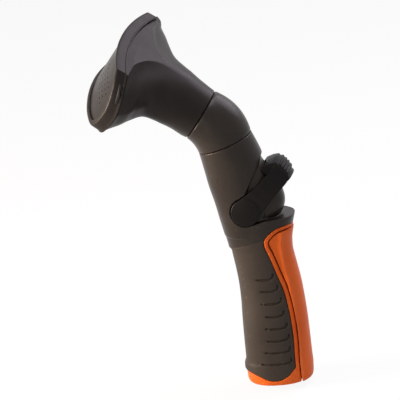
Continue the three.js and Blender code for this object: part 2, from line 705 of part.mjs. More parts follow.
// Staggered rows of spray holes: place across, place along the width, and fan angle
function sprayHoles() {
  const holes = [];
  const rowPitch = 4.2;
  for (let row = 0; row < HOLE_ROWS; row++) {
    for (let i = 0; i < HOLES_PER_ROW; i++) {
      const stagger = row % 2 ? 0.25 : -0.25;
      const w = (i - (HOLES_PER_ROW - 1) / 2 + stagger) * HOLE_PITCH;
      holes.push([(row - (HOLE_ROWS - 1) / 2) * rowPitch, w, Math.asin(w / FACE_RADIUS)]);
    }
  }
  return holes;
}

// Hose inlet in the base
function buildInlet() {
  const outer = SOCKET_RADIUS + SOCKET_WALL;
  const floor = SOCKET_DEPTH + 2.6;
  const socket = revolved([[SOCKET_RADIUS, 0], [outer, 0], [outer, floor], [WATER_RADIUS, floor],
    [WATER_RADIUS, SOCKET_DEPTH], [SOCKET_RADIUS, SOCKET_DEPTH]], 28);
  add("hose_socket", socket, finish(BLACK, 0.5));
  const washerTop = SOCKET_DEPTH - GAP - 1.2;
  add("hose_washer", tube(WATER_RADIUS + 1, SOCKET_RADIUS - GAP, washerTop - 2.8, washerTop, 24), finish(SEAL, 0.75));
  let screen = rod(SOCKET_RADIUS - GAP, SOCKET_DEPTH - GAP - 0.8, SOCKET_DEPTH - GAP, 24);
  const meshPitch = 3;
  for (let i = -2; i <= 2; i++) {
    for (let j = -2; j <= 2; j++) {
      if (Math.hypot(i, j) > 2.1) continue;
      const hole = new THREE.CylinderGeometry(1, 1, 4, 5).rotateX(Math.PI / 2);
      screen = screen.subtract(solid(hole.translate(i * meshPitch, j * meshPitch, SOCKET_DEPTH)));
    }
  }
  add("filter_screen", screen, finish(WHITE, 0.4));
}

buildHandle();
buildInlet();
buildBody();
buildValve();
buildElbow();
buildHead();

export default part;
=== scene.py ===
import json
import math

import bmesh
import bpy
from mathutils import Matrix, Vector


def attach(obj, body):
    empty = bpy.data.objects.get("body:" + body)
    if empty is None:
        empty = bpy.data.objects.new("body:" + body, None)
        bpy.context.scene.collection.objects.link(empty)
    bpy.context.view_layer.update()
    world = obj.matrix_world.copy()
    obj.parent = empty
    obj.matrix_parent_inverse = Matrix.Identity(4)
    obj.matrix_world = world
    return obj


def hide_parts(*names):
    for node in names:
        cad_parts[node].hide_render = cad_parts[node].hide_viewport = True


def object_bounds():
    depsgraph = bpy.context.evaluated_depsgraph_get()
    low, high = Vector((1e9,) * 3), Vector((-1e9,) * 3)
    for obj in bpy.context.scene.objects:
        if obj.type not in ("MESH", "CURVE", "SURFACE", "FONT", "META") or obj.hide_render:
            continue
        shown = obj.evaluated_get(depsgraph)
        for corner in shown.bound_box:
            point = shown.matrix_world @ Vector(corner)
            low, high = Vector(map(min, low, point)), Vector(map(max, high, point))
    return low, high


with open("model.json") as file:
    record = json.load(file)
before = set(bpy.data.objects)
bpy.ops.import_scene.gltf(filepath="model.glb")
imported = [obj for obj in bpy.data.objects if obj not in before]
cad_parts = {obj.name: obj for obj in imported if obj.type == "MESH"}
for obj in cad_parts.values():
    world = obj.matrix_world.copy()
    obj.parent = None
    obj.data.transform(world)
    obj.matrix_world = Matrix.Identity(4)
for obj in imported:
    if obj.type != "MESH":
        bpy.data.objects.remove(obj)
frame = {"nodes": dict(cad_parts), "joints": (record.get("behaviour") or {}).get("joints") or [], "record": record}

# Hose spray nozzle: the looks of each piece, round the fixed frame.
# Shapes are worked out in millimetres, +Z up along the handle and -X the spray side,
# and become metres at the end.
MM = 0.001
cad_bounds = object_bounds()

# Fits
GAP = 0.3
RUN = 0.35
CLEAR = 40  # half width of a tool that cuts right through

# Handle
HANDLE_WIDTH = 37.4
FRONT_STOP = 95
COLLAR_BACK = 107.5
SHELF = 115
SHELF_RISE = 0.05
SHELF_BACK = 21
BEHIND = 60  # x of a line well behind the handle
GRIP_THICK = 2.8
RIM_WIDTH = 2.5
SPINE_GROOVE = 0.8
SPINE_THICK = 3.4
SPINE_PROUD = 0.9
SPINE_BEAD = 0.9
BEAD_WIDTH = 0.009  # as a share of a turn round the handle, like the next two
SPINE_CREASE = 0.135
SPINE_FLANK = 0.27  # where the insert's flat side ends
FRAME_WALL = 4.6

# Hose inlet
SOCKET_RADIUS = 13
SOCKET_WALL = 2.2
SOCKET_DEPTH = 13.5
SOCKET_FLOOR = 2.6
WATER_RADIUS = 7
THREAD_PITCH = 2.21
THREAD_HEIGHT = 0.9
THREAD_TURNS = 3.5
THREAD_START = 1.6
THREAD_CREST = 0.25  # half of the thread's width at its crest

# Thumb valve
pivot = [joint for joint in frame["joints"] if joint["name"] == "lever_pivot"][0]
PIVOT = Vector(pivot["pos_m"]) / MM
LEAN = 13
DRUM_RADIUS = 11.5
STUB_RADIUS = 6
STUB_ROOM = 1.4
KEY_HALF = 3.2
CORE_HALF = 14.6
CHEEK = 0.7  # cover over the drum's bushes
CHEEK_PROUD = 0.15
BARREL_FRONT = -24
ARM_INNER = CORE_HALF + 0.6
ARM_OUTER = CORE_HALF + 4.2
ARM_ANGLE = 43
DISC_RADIUS = 9.5
DISC_ROOM = 0.6
DISC_DOME = 1.3
DISC_ROOT = CORE_HALF + 2
PAD_HALF = 10.6
PAD_CROWN = 2.8
LEVER_SWING = 35
RIDGES = 5
RIDGE_HEIGHT = 0.95

# Elbow and fan head
swivel = [joint for joint in frame["joints"] if joint["name"] == "head_swivel"][0]
SEAM_A = Vector(swivel["pos_m"]) / MM
SEAM_B = Vector((-19.9, 0, 166.6))
TILT_B = 17.3
TILT_A = 52.6
BEND_RADIUS = 39.7
NECK_RADIUS = 18.6
THROAT_RADIUS = 17.9
THROAT_FLARE = 2
ELBOW_BORE = 11
ELBOW_SWELL = 1.5
SPIGOT_RADIUS = 13.4
SPIGOT_LENGTH = 9
SWIVEL_END = 11.5
HEAD_ROLL = 20
THROAT_CREASE = 3  # degrees from the top of the tube to where the flat top's crease starts
MOUTH_HALF = 49.4
MOUTH_TOP = 22.8
MOUTH_RISE = 0.4
FACE_RADIUS = 87
FACE_REACH = 71.4
CREASE_LAG = 3  # how much later the flat top widens than the sides do
UNDER_LIFT = 3.4  # the underside's hollow behind the mouth
BEZEL_DEPTH = 7.6
SHELL_WALL = 1.9
SHELL_STEP = 1.2
PLATE_RECESS = 1.6
PLATE_THICK = 2
PLATE_INSET = 2.5
GASKET_ROOM = 1.8
HOLE_ROWS = 4
HOLES_PER_ROW = 18
HOLE_PITCH = 4.3
ROW_PITCH = 4.2
HOLE_RADIUS = 0.55

# Grain of the pieces that are cut and then rounded
FINE = 0.4
COARSE = 0.46  # for the dark moulding, the largest piece
LEVER_GRAIN = 0.32
SOFTENING = 3  # how often their skin is smoothed
AROUND = 168  # points round the head


def through(rows, share):
    """Values on a smooth curve through the rows, at a share of the way along them."""
    at = min(max(share, 0), 1) * (len(rows) - 1)
    i = min(int(at), len(rows) - 2)
    f = at - i
    before, start, end, after = rows[max(i - 1, 0)], rows[i], rows[i + 1], rows[min(i + 2, len(rows) - 1)]
    return [
        0.5 * (2 * b + (c - a) * f + (2 * a - 5 * b + 4 * c - d) * f * f + (3 * b - a - 3 * c + d) * f**3)
        for a, b, c, d in zip(before, start, end, after)
    ]


def mix(a, b, share):
    return a + (b - a) * share


def stance(point, tilt=0, roll=0):
    """Where a piece made about its own Z axis goes: rolled about it, tilted forward, and put at a point."""
    lean = Matrix.Rotation(math.radians(-tilt), 4, "Y")
    return Matrix.Translation(point) @ lean @ Matrix.Rotation(math.radians(roll), 4, "Z")


ACROSS = stance(PIVOT) @ Matrix.Rotation(math.radians(90), 4, "X")  # along the lever's axis


# Making and cutting
def linked(name, data):
    """A new object in the scene."""
    made = bpy.data.objects.new(name, data)
    bpy.context.scene.collection.objects.link(made)
    return made


def body_from(mesh_data, name):
    """Closes and turns out a bmesh, and links it as an object."""
    bmesh.ops.remove_doubles(mesh_data, verts=mesh_data.verts, dist=1e-4)
    open_edges = [edge for edge in mesh_data.edges if edge.is_boundary]
    if open_edges:
        bmesh.ops.holes_fill(mesh_data, edges=open_edges, sides=0)
    bmesh.ops.recalc_face_normals(mesh_data, faces=mesh_data.faces)
    mesh = bpy.data.meshes.new(name)
    mesh_data.to_mesh(mesh)
    mesh_data.free()
    return linked(name, mesh)


def skin(name, surface, around=96, along=96):
    """A surface of two shares, round and along, as a body."""
    made = bmesh.new()
    bmesh.ops.create_grid(made, x_segments=around, y_segments=along, size=0.5)
    for vert in made.verts:
        vert.co = surface(vert.co.x + 0.5, vert.co.y + 0.5)
    return body_from(made, name)


def extruded(corners, shift, name):
    """A flat outline made solid along a shift."""
    made = bmesh.new()
    face = made.faces.new([made.verts.new(corner) for corner in corners])
    grown = bmesh.ops.extrude_face_region(made, geom=[face])["geom"]
    moved = [item for item in grown if isinstance(item, bmesh.types.BMVert)]
    bmesh.ops.translate(made, vec=shift, verts=moved)
    return body_from(made, name)


def slab(outline, low=-CLEAR, high=CLEAR, name="slab"):
    """A side view outline in X and Z, made solid from one Y to another."""
    return extruded([(x, low, z) for x, z in outline], (0, high - low, 0), name)


def rod(radius, low, high, place=Matrix.Identity(4), name="rod"):
    """A round bar along its own Z axis, from one height to another."""
    made = bmesh.new()
    middle = place @ Matrix.Translation((0, 0, (low + high) / 2))
    bmesh.ops.create_cone(
        made, cap_ends=True, segments=96, radius1=radius, radius2=radius, depth=high - low, matrix=middle
    )
    return body_from(made, name)


def block(size, place):
    made = bmesh.new()
    bmesh.ops.create_cube(made, size=1, matrix=place @ Matrix.Diagonal((*size, 1)))
    return body_from(made, "block")


def settle(body):
    """Applies the body's modifiers."""
    graph = bpy.context.evaluated_depsgraph_get()
    graph.update()
    mesh = bpy.data.meshes.new_from_object(body.evaluated_get(graph))
    old = body.data
    body.modifiers.clear()
    body.data = mesh
    bpy.data.meshes.remove(old)


def carve(body, operation, *tools, keep_tools=False):
    """Joins, cuts or keeps what the tools cover."""
    for tool in tools:
        cut = body.modifiers.new(tool.name, "BOOLEAN")
        cut.operation = operation
        cut.solver = "MANIFOLD"
        cut.object = tool
    settle(body)
    if not keep_tools:
        for tool in tools:
            bpy.data.objects.remove(tool)
    return body


def soften(body, grain=FINE):
    """Gives a cut body one even skin with the small rounds of a moulding."""
    remesh = body.modifiers.new("even skin", "REMESH")
    remesh.mode = "VOXEL"
    remesh.voxel_size = grain
    smooth = body.modifiers.new("rounds", "SMOOTH")
    smooth.factor = 0.5
    smooth.iterations = SOFTENING
    settle(body)


def half_by(body, point, normal):
    """Keeps the side of a plane that the normal points away from."""
    made = bmesh.new()
    made.from_mesh(body.data)
    everything = made.verts[:] + made.edges[:] + made.faces[:]
    bmesh.ops.bisect_plane(made, geom=everything, plane_co=point, plane_no=normal, clear_outer=True)
    open_edges = [edge for edge in made.edges if edge.is_boundary]
    bmesh.ops.holes_fill(made, edges=open_edges, sides=0)
    made.to_mesh(body.data)
    made.free()


def finish_piece(body, name, body_name, material, nodes, sharp=None):
    """Scales a piece to metres, smooths its shading and puts it in the nodes' place."""
    body.name = name
    body.data.name = name
    body.data.transform(Matrix.Scale(MM, 4))
    body.data.shade_smooth()
    if sharp is not None:
        made = bmesh.new()
        made.from_mesh(body.data)
        for edge in made.edges:
            edge.smooth = len(edge.link_faces) == 2 and edge.calc_face_angle(0) < math.radians(sharp)
        made.to_mesh(body.data)
        made.free()
    body.data.materials.clear()
    body.data.materials.append(material)
    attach(body, body_name)
    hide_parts(*nodes)


# Handle sections: height, front, back, and share of the full width
PALM = [
    (0, -20.6, 19.8, 0.955),
    (0.8, -21.4, 20.6, 0.975),
    (2.5, -22, 21.2, 0.985),
    (7.6, -22.3, 21.6, 1.005),
    (9.6, -23.3, 21.7, 1.01),
    (13, -23.1, 21.6, 1.01),
    (15.4, -22.1, 21.5, 1.01),
    (20, -21.9, 21.5, 1.005),
    (28, -21.8, 21.4, 1),
    (42, -21.5, 21.2, 0.985),
    (57, -20.9, 20.4, 0.96),
    (69, -21, 19.3, 0.94),
    (80, -21.9, 17.6, 0.93),
    (89, -23, 16.3, 0.935),
    (94.2, -23.7, 16.3, 0.945),
    (95.4, -25, 16.4, 0.95),
    (98, -25.4, 16.6, 0.955),
    (105, -26.8, 18.2, 0.975),
    (SHELF, -28.9, 21, 0.99),
]
GRIP_ROWS = PALM[1:-6]  # where the grip is hollow
FRAME_ROWS = PALM[3:]  # where the frame is hollow, above its floor


def section_point(turn, x, z, depth, half, tilt=0, power=2.2):
    """A point on a rounded section; turn 0 is the back and a half is the front."""
    angle = 2 * math.pi * turn
    c, s = math.cos(angle), math.sin(angle)
    u = math.copysign(abs(c) ** (2 / power), c) * depth
    v = math.copysign(abs(s) ** (2 / power), s) * half
    lean = math.radians(tilt)
    return Vector((x + u * math.cos(lean), v, z + u * math.sin(lean)))


def palm(inset, rows=PALM, name="palm"):
    """The handle's surface, moved inwards by the inset."""

    def surface(turn, share):
        z, front, back, wide = through(rows, share)
        depth = (back - front) / 2 - inset
        return section_point(turn, (front + back) / 2, z, depth, wide * HANDLE_WIDTH / 2 - inset)

    return skin(name, surface)


# The rim's front edge in the side view, from the back's top down to the base
RIM = [
    (22, 108.2), (17, 109.2), (12.5, 109.3), (8.1, 108.4), (3.6, 105.5), (0.5, 101.7), (0.3, 97.2),
    (2.3, 91.2), (5.8, 79), (9.35, 66.8), (11.3, 54.7), (12.3, 42.7), (12.6, 29.8), (12.1, 17.2), (12, 8),
    (12, -20),
]


def rim_region(offset):
    """All that lies behind the rim's front edge, moved back by the offset."""
    steps = 90
    line = [Vector(through(RIM, i / steps)) for i in range(steps + 1)]
    points = []
    for i, here in enumerate(line):
        along = (line[min(i + 1, steps)] - line[max(i - 1, 0)]).normalized()
        points.append((here.x - along.y * offset, here.y + along.x * offset))
    return slab([*points, (45, -20), (45, points[0][1])], name="rim")


# The base ring's upper edge in the side view, from the front to the back
BASE_EDGE = [
    (-29.2, 8.3), (-22.2, 8.2), (-17.2, 7.7), (-12.2, 6.1), (-7.2, 3.9), (-2.7, 3), (2.3, 3.7), (6.8, 6.1),
    (9.8, 9.1), (12.8, 12.3),
]


def base_region(lift):
    """All that lies below the base ring's upper edge, moved up by the lift."""
    steps = 60
    points = [through(BASE_EDGE, i / steps) for i in range(steps + 1)]
    edge = [(x, z + lift) for x, z in [(-45, BASE_EDGE[0][1]), *points, (45, BASE_EDGE[-1][1])]]
    return slab([*edge, (45, -30), (-45, -30)], name="base")


# Grooves on each side of the grip, from the top one down: front, back, height
GROOVES = [
    (-9.1, 3.8, 74.7),
    (-7.1, 6, 66.4),
    (-6.1, 7.5, 57.7),
    (-5.2, 8.4, 48.8),
    (-5.3, 9.5, 40.3),
    (-6.3, 9.8, 31.8),
    (-8.9, 9.8, 23.5),
    (-13.3, 10, 15.3),
]
GROOVE_WIDTH = 1.3
GROOVE_DEPTH = 1.3
GROOVE_HOOK = 4


def groove_tools():
    """The grooves in the side view, each a hooked line that narrows at both ends."""
    tools = []
    steps = 24
    lead_in = 8
    hook_start = 18
    for front, back, z in GROOVES:
        half = GROOVE_WIDTH / 2
        route = [(front, z + 0.3), (mix(front, back, 0.35), z - 0.3), (mix(front, back, 0.7), z - 0.2)]
        route += [(back - 1.6, z + 0.4), (back - 0.5, z + 1.3), (back, z + GROOVE_HOOK)]
        line = [Vector(through(route, i / steps)) for i in range(steps + 1)]
        sides = [[], []]
        for i, here in enumerate(line):
            along = (line[min(i + 1, steps)] - line[max(i - 1, 0)]).normalized()
            wide = half * mix(0.7, 1.1, min(i / lead_in, 1))
            wide *= mix(1, 0.7, max(i - hook_start, 0) / (steps - hook_start))
            sides[0].append((here.x - along.y * wide, here.y + along.x * wide))
            sides[1].append((here.x + along.y * wide, here.y - along.x * wide))
        tools.append(slab([*sides[0], *reversed(sides[1])], name="groove"))
    return tools


# Valve housing sections: x, z, half depth, half width, tilt and roundness
BODY = [
    (-9, 104, 17.9, 18, 0, 2.2),
    (-10.3, 116, 18.7, 18.5, 4, 2.2),
    (-12.2, 128.5, 18.9, 18.8, 8, 2.2),
    (-14.6, 141.9, 19.4, 19, 11, 2.2),
    (-15.9, 152.3, 19.9, 19, 14, 2.15),
    (SEAM_B.x, SEAM_B.z, NECK_RADIUS, NECK_RADIUS, TILT_B, 2),
]
# The pocket's front edge in the side view, then the barrel's back: height and X
CREASE = [(3.3, 157), (1.2, 152), (-3.7, 144), (-8.6, 135)]
BARREL = [
    (113, 9.5), (116, 12.4), (121, 14.8), (126, 15.4), (132, 14.2), (138, 11.6), (144, 8.4), (150, 4.6),
    (156, 1), (161, -3),
]


def lever_point(along, over, angle):
    """Where a point of the lever's side view lies at an angle of its arm."""
    c, s = math.cos(math.radians(angle)), math.sin(math.radians(angle))
    return (PIVOT.x + along * c - over * s, PIVOT.z + along * s + over * c)


# Side view of the lever, along and across its middle line from the pivot
ARM_END = [(16, -7.5), (32.5, -7.5), (35.5, -3), (35.5, 5.4), (16, 6)]
PAD_FRONT = [(37.4, 8.6), (33.4, 10.4), (29.6, 10), (28.2, 7.6), (30.6, 4), (31.2, -7.4)]
PAD_BACK = [(38.1, -7.6), (40.4, -3.2), (41, -0.1), (41.2, 3.1), (40, 6.6)]
# Half widths along the middle line: outside the arms, and the room between them for the barrel
YOKE_OUT = [(-20, ARM_OUTER), (7, ARM_OUTER), (13, 18.3), (19, 17), (26, 14.6), (33.6, 11.5), (36.5, 10.3)]
YOKE_IN = [(-20, ARM_INNER), (15, ARM_INNER), (21, 13.9), (26, 11), (29, 7.5), (30.3, 4)]


def ridged_back():
    """The ridged back of the pad, from its lower corner to its upper one."""
    steps = RIDGES * 12
    centre = 33.6
    points = []
    for i in range(steps + 1):
        a, p = through(PAD_BACK, i / steps)
        dip = RIDGE_HEIGHT * (1 - math.cos(2 * math.pi * RIDGES * i / steps)) / 2
        out = Vector((a - centre, p)).normalized()
        points.append((a - out.x * dip, p - out.y * dip))
    return points


def lever_side(grow=0):
    """The side view of the lever's disc and arm."""
    steps = 60
    radius = DISC_RADIUS + grow
    arc = [math.radians(mix(88, 272, i / steps)) for i in range(steps + 1)]
    disc = [(radius * math.cos(a), radius * math.sin(a)) for a in arc]
    return [*disc, *[(a, p + math.copysign(grow, p)) for a, p in ARM_END]]


def yoke(edge):
    """A plan outline given by its half widths along the lever, solid right through."""
    outline = [*edge, *[(a, -y) for a, y in reversed(edge)]]
    return extruded([(a, y, -CLEAR) for a, y in outline], (0, 0, 2 * CLEAR), "yoke")


def lever_sweep(low, high):
    """Room for an arm over the whole swing."""
    steps = 7
    made = None
    for i in range(steps + 1):
        angle = ARM_ANGLE - LEVER_SWING * i / steps
        piece = slab([lever_point(a, p, angle) for a, p in lever_side(DISC_ROOM)], low, high, "sweep")
        made = carve(made, "UNION", piece) if made else piece
    return made


def upper(turn, share):
    """The valve housing's surface."""
    x, z, depth, half, tilt, power = through(BODY, share)
    return section_point(turn, x, z, depth, half, tilt, power)


def barrel(turn, share):
    """The rounded barrel that holds the drum, behind the pocket's edge."""
    z, back = through(BARREL, share)
    return section_point(turn, (back + BARREL_FRONT) / 2, z, (back - BARREL_FRONT) / 2, CORE_HALF, power=2.3)


def shelf_at(x):
    return SHELF + (SHELF_BACK - x) * SHELF_RISE


def make_moulding():
    """The dark moulding: the valve housing with the grip below it, parted at the collar later."""
    moulding = palm(0, name="moulding")
    carve(moulding, "UNION", skin("upper", upper))
    pocket = [*CREASE, (PIVOT.x, shelf_at(PIVOT.x)), (BEHIND, shelf_at(BEHIND)), (BEHIND, CREASE[0][1])]
    carve(moulding, "DIFFERENCE", slab(pocket))
    for low, high in ((CORE_HALF + GAP, CLEAR), (-CLEAR, -CORE_HALF - GAP)):
        disc_room = rod(DISC_RADIUS + DISC_ROOM, -high, -low, ACROSS)
        carve(moulding, "DIFFERENCE", disc_room, lever_sweep(low, high))
    cheeks = rod(DRUM_RADIUS + 1, -CORE_HALF - CHEEK_PROUD, CORE_HALF + CHEEK_PROUD, ACROSS, "cheeks")
    carve(moulding, "UNION", skin("barrel", barrel), cheeks)
    carve(
        moulding, "DIFFERENCE",
        palm(GRIP_THICK, GRIP_ROWS, "hollow"),
        rim_region(-GAP),
        base_region(GAP),
        rod(WATER_RADIUS, -60, 60, stance(PIVOT, LEAN)),
        rod(DRUM_RADIUS + RUN, CHEEK - CORE_HALF, CORE_HALF - CHEEK, ACROSS),
        rod(STUB_RADIUS + STUB_ROOM, -CLEAR, CLEAR, ACROSS),
        rod(SPIGOT_RADIUS + GAP, -SPIGOT_LENGTH - GAP, 5, stance(SEAM_B, TILT_B)),
    )
    grooves = groove_tools()
    bed = palm(GROOVE_DEPTH, name="bed")
    for tool in grooves:
        carve(tool, "DIFFERENCE", bed, keep_tools=True)
    bpy.data.objects.remove(bed)
    carve(moulding, "DIFFERENCE", *grooves)
    soften(moulding, COARSE)
    return moulding


def split_moulding(moulding, dark, rubber):
    """Parts the moulding at the collar plane, which rises towards the back."""
    front = Vector((-27, 0, FRONT_STOP))
    rise = Vector((20, 0, COLLAR_BACK)) - front
    upwards = Vector((-rise.z, 0, rise.x)).normalized()
    grip = linked("grip", moulding.data.copy())
    hair = 0.02
    half_by(grip, front - upwards * hair, upwards)
    half_by(moulding, front + upwards * hair, -upwards)
    finish_piece(grip, "grip_moulding", "handle", rubber, ["grip_sleeve"])
    finish_piece(moulding, "valve_housing", "handle", dark, ["valve_body"])


def make_frame(orange):
    """The orange frame: the base ring and the rim line, open for the back insert."""
    band = palm(0, name="band")
    carve(band, "DIFFERENCE", palm(FRAME_WALL, FRAME_ROWS, "inside"))
    region = carve(rim_region(0), "UNION", base_region(0))
    carve(band, "INTERSECT", region)
    spine_bed = carve(rim_region(RIM_WIDTH), "DIFFERENCE", palm(SPINE_THICK, name="bed"))
    carve(band, "DIFFERENCE", spine_bed, rod(SOCKET_RADIUS + SOCKET_WALL + GAP, -5, 30))
    soften(band)
    finish_piece(band, "orange_frame", "handle", orange, ["handle_frame"])


def make_spine(orange):
    """The back insert: two sides and a crowned back, which meet at a crease."""

    def surface(turn, share):
        z, front, back, wide = through(PALM, share)
        x = (front + back) / 2
        depth = (back - front) / 2 + SPINE_PROUD
        half = wide * HANDLE_WIDTH / 2 + SPINE_PROUD
        near = min(turn, 1 - turn)
        bead = SPINE_BEAD * math.exp(-(((near - SPINE_CREASE) / BEAD_WIDTH) ** 2))
        point = section_point(turn, x, z, depth + bead, half + bead)
        if SPINE_CREASE < near < SPINE_FLANK:
            start = section_point(SPINE_CREASE, x, z, depth, half)
            end = section_point(SPINE_FLANK, x, z, depth, half)
            flat = start.lerp(end, (near - SPINE_CREASE) / (SPINE_FLANK - SPINE_CREASE))
            flat.y = math.copysign(flat.y, point.y)
            point = flat + (point - flat).normalized() * bead if bead > 0.02 else flat
        return point

    proud = skin("proud", surface, 200, 96)
    carve(proud, "DIFFERENCE", palm(SPINE_THICK - GAP, name="bed"))
    carve(proud, "INTERSECT", rim_region(RIM_WIDTH + SPINE_GROOVE))
    soften(proud)
    finish_piece(proud, "back_insert", "handle", orange, ["back_spine"])


def disc_face(side):
    """The domed outer face of one pivot disc, which closes inside the arm."""

    def surface(turn, share):
        angle = 2 * math.pi * turn
        ring = DISC_RADIUS * share
        height = ARM_OUTER + DISC_DOME * (1 - 0.8 * share**2) if share < 0.999 else DISC_ROOT
        return Vector((ring * math.cos(angle), side * height, ring * math.sin(angle)))

    return skin("dome", surface, 64, 24)


def make_lever(dark):
    """Two arms that close in behind the barrel, joined by a crowned pad with cross ridges."""
    ring = [*ridged_back(), *PAD_FRONT]

    def crowned(turn, share):
        a, p = ring[round(turn * len(ring)) % len(ring)]
        side = 2 * share - 1
        return Vector((a - PAD_CROWN * side**2, PAD_HALF * side, p))

    lever = slab(lever_side(), -CORE_HALF - 6, CORE_HALF + 6, "lever")
    carve(lever, "INTERSECT", yoke(YOKE_OUT))
    for side in (-1, 1):
        carve(lever, "UNION", disc_face(side))
    carve(lever, "UNION", skin("pad", crowned, len(ring), 24))
    carve(lever, "DIFFERENCE", yoke(YOKE_IN))
    lever.data.transform(stance(PIVOT, ARM_ANGLE))
    key_room = 2 * KEY_HALF + GAP
    carve(lever, "DIFFERENCE", block((key_room, 2 * CORE_HALF + 5, key_room), stance(PIVOT, LEAN)))
    soften(lever, LEVER_GRAIN)
    finish_piece(lever, "lever_arms", "lever", dark, ["thumb_lever"])


def bend_at(share):
    """Centre and tilt of the bend, from the lower seam to the upper one."""
    tilt = math.radians(mix(TILT_B, TILT_A, share))
    start = math.radians(TILT_B)
    hub = SEAM_B - BEND_RADIUS * Vector((math.cos(start), 0, math.sin(start)))
    return hub + BEND_RADIUS * Vector((math.cos(tilt), 0, math.sin(tilt))), math.degrees(tilt)


def make_elbow(dark):
    """One closed skin, from row to row: lower spigot, bend, upper spigot, and back through the bore."""
    soft = 0.5
    bends = 24
    rows = [  # share of the bend, shift along its axis, radius
        (0, -SPIGOT_LENGTH, ELBOW_BORE),
        (0, -SPIGOT_LENGTH, SPIGOT_RADIUS),
        (0, GAP, SPIGOT_RADIUS),
        (0, GAP, NECK_RADIUS - 2 * soft),
        (0, GAP + 0.15 * soft, NECK_RADIUS - soft),
        (0, GAP + soft, NECK_RADIUS - 0.2),
        *[(i / bends, 0, mix(NECK_RADIUS, THROAT_RADIUS, i / bends)) for i in range(1, bends)],
        (1, -soft, THROAT_RADIUS - 0.1),
        (1, -0.15 * soft, THROAT_RADIUS - soft),
        (1, 0, THROAT_RADIUS - 2 * soft),
        (1, 0, SPIGOT_RADIUS),
        (1, SWIVEL_END, SPIGOT_RADIUS),
        (1, SWIVEL_END, ELBOW_BORE),
        *[(1 - i / bends, 0, ELBOW_BORE) for i in range(bends + 1)],
        (0, -SPIGOT_LENGTH, ELBOW_BORE),
    ]

    def surface(turn, share):
        at, shift, radius = rows[round(share * (len(rows) - 1))]
        centre, tilt = bend_at(at)
        angle = 2 * math.pi * turn
        if radius > SPIGOT_RADIUS:
            radius += ELBOW_SWELL * math.sin(math.pi * at) * (1 + math.cos(angle)) / 2
        ring = Vector((radius * math.cos(angle), radius * math.sin(angle), shift))
        return stance(centre, tilt) @ ring

    elbow = skin("elbow", surface, 120, len(rows) - 1)
    finish_piece(elbow, "elbow_bend", "handle", dark, ["elbow"], sharp=40)


# Half of the mouth's outline, as shares of its half height and half width: straight to the crease
# of the flat top, then one smooth curve to the middle of the underside
FLAT = 2 / 7  # share of a half turn from the middle of the top to the crease
SHOULDER = 3 / 7  # and to the end of the shoulder below it
TOP_CREASE = (1, 0.71)
SIDE_CURVE = [
    TOP_CREASE, (0.74, 0.838), (0.44, 0.93), (0.15, 0.98), (-0.124, 1), (-0.62, 0.977), (-0.909, 0.897),
    (-1, 0.69), (-1, 0.46), (-1, 0.23), (-1, 0),
]


def mouth_point(turn):
    """Height and width of the mouth's outline at a share of a turn from the middle of its top."""
    half = min(turn, 1 - turn) * 2
    side = 1 if turn <= 0.5 else -1
    if half <= FLAT:
        t, w = 1, TOP_CREASE[1] * half / FLAT
    else:
        t, w = through(SIDE_CURVE, (half - FLAT) / (1 - FLAT))
    return t * MOUTH_TOP, side * w * MOUTH_HALF


def throat_point(turn, radius):
    """The same on the round tube, where the flat top narrows to almost nothing."""
    half = min(turn, 1 - turn) * 2
    side = 1 if turn <= 0.5 else -1
    if half <= FLAT:
        angle = math.radians(THROAT_CREASE * half / FLAT)
    else:
        angle = math.radians(mix(THROAT_CREASE, 180, (half - FLAT) / (1 - FLAT)))
    return radius * math.cos(angle), side * radius * math.sin(angle)


def setback(w):
    """How far the curved face lies behind its middle at a width."""
    return FACE_RADIUS - math.sqrt(FACE_RADIUS**2 - w**2)


# Head sections: share of the reach to the face, share of the setback at the ends,
# and spread from tube to mouth
HEAD_SHARES = [
    (0.161, 0, 0.01),
    (0.241, 0.022, 0.035),
    (0.361, 0.067, 0.1),
    (0.489, 0.167, 0.21),
    (0.62, 0.389, 0.485),
    (0.723, 0.639, 0.69),
    (0.821, 0.833, 0.86),
]
HEAD = [(reach * FACE_REACH, back * setback(MOUTH_HALF), spread) for reach, back, spread in HEAD_SHARES]


def smooth_share(share):
    share = min(max(share, 0), 1)
    return share * share * (3 - 2 * share)


def head_point(turn, reach, back, spread, inset=0):
    """A point of the flare: the tube's outline spread into the mouth's, the flat top later than the sides."""
    radius = THROAT_RADIUS + THROAT_FLARE * min(reach / 20, 1)
    mt, mw = mouth_point(turn)
    ct, cw = throat_point(turn, radius)
    half = min(turn, 1 - turn) * 2
    lag = 1 - smooth_share((half - FLAT) / (SHOULDER - FLAT))
    own = mix(spread, max(spread, 0) ** CREASE_LAG, lag)
    t, w = mix(ct, mt, mix(own, spread, lag)), mix(cw, mw, own)
    wide, high = mix(radius, MOUTH_HALF, spread), mix(radius, MOUTH_TOP, spread)
    if t < 0:
        hollow = math.sin(math.pi * min(max(reach / FACE_REACH, 0) / 0.88, 1))
        t += UNDER_LIFT * hollow * smooth_share(-t / high)
    height = MOUTH_RISE * spread + t * (1 - inset / high)
    return Vector((height, w * (1 - inset / wide), reach - back * (w / wide) ** 2))


def face_point(turn, height, inset):
    """A point of the mouth's outline moved in by the inset, at a height over the face's own curve."""
    t, w = mouth_point(turn)
    t, w = MOUTH_RISE + t * (1 - inset / MOUTH_TOP), w * (1 - inset / MOUTH_HALF)
    return Vector((t, w, FACE_REACH - setback(w) + height))


INTO_HEAD = stance(SEAM_A, TILT_A, -HEAD_ROLL)


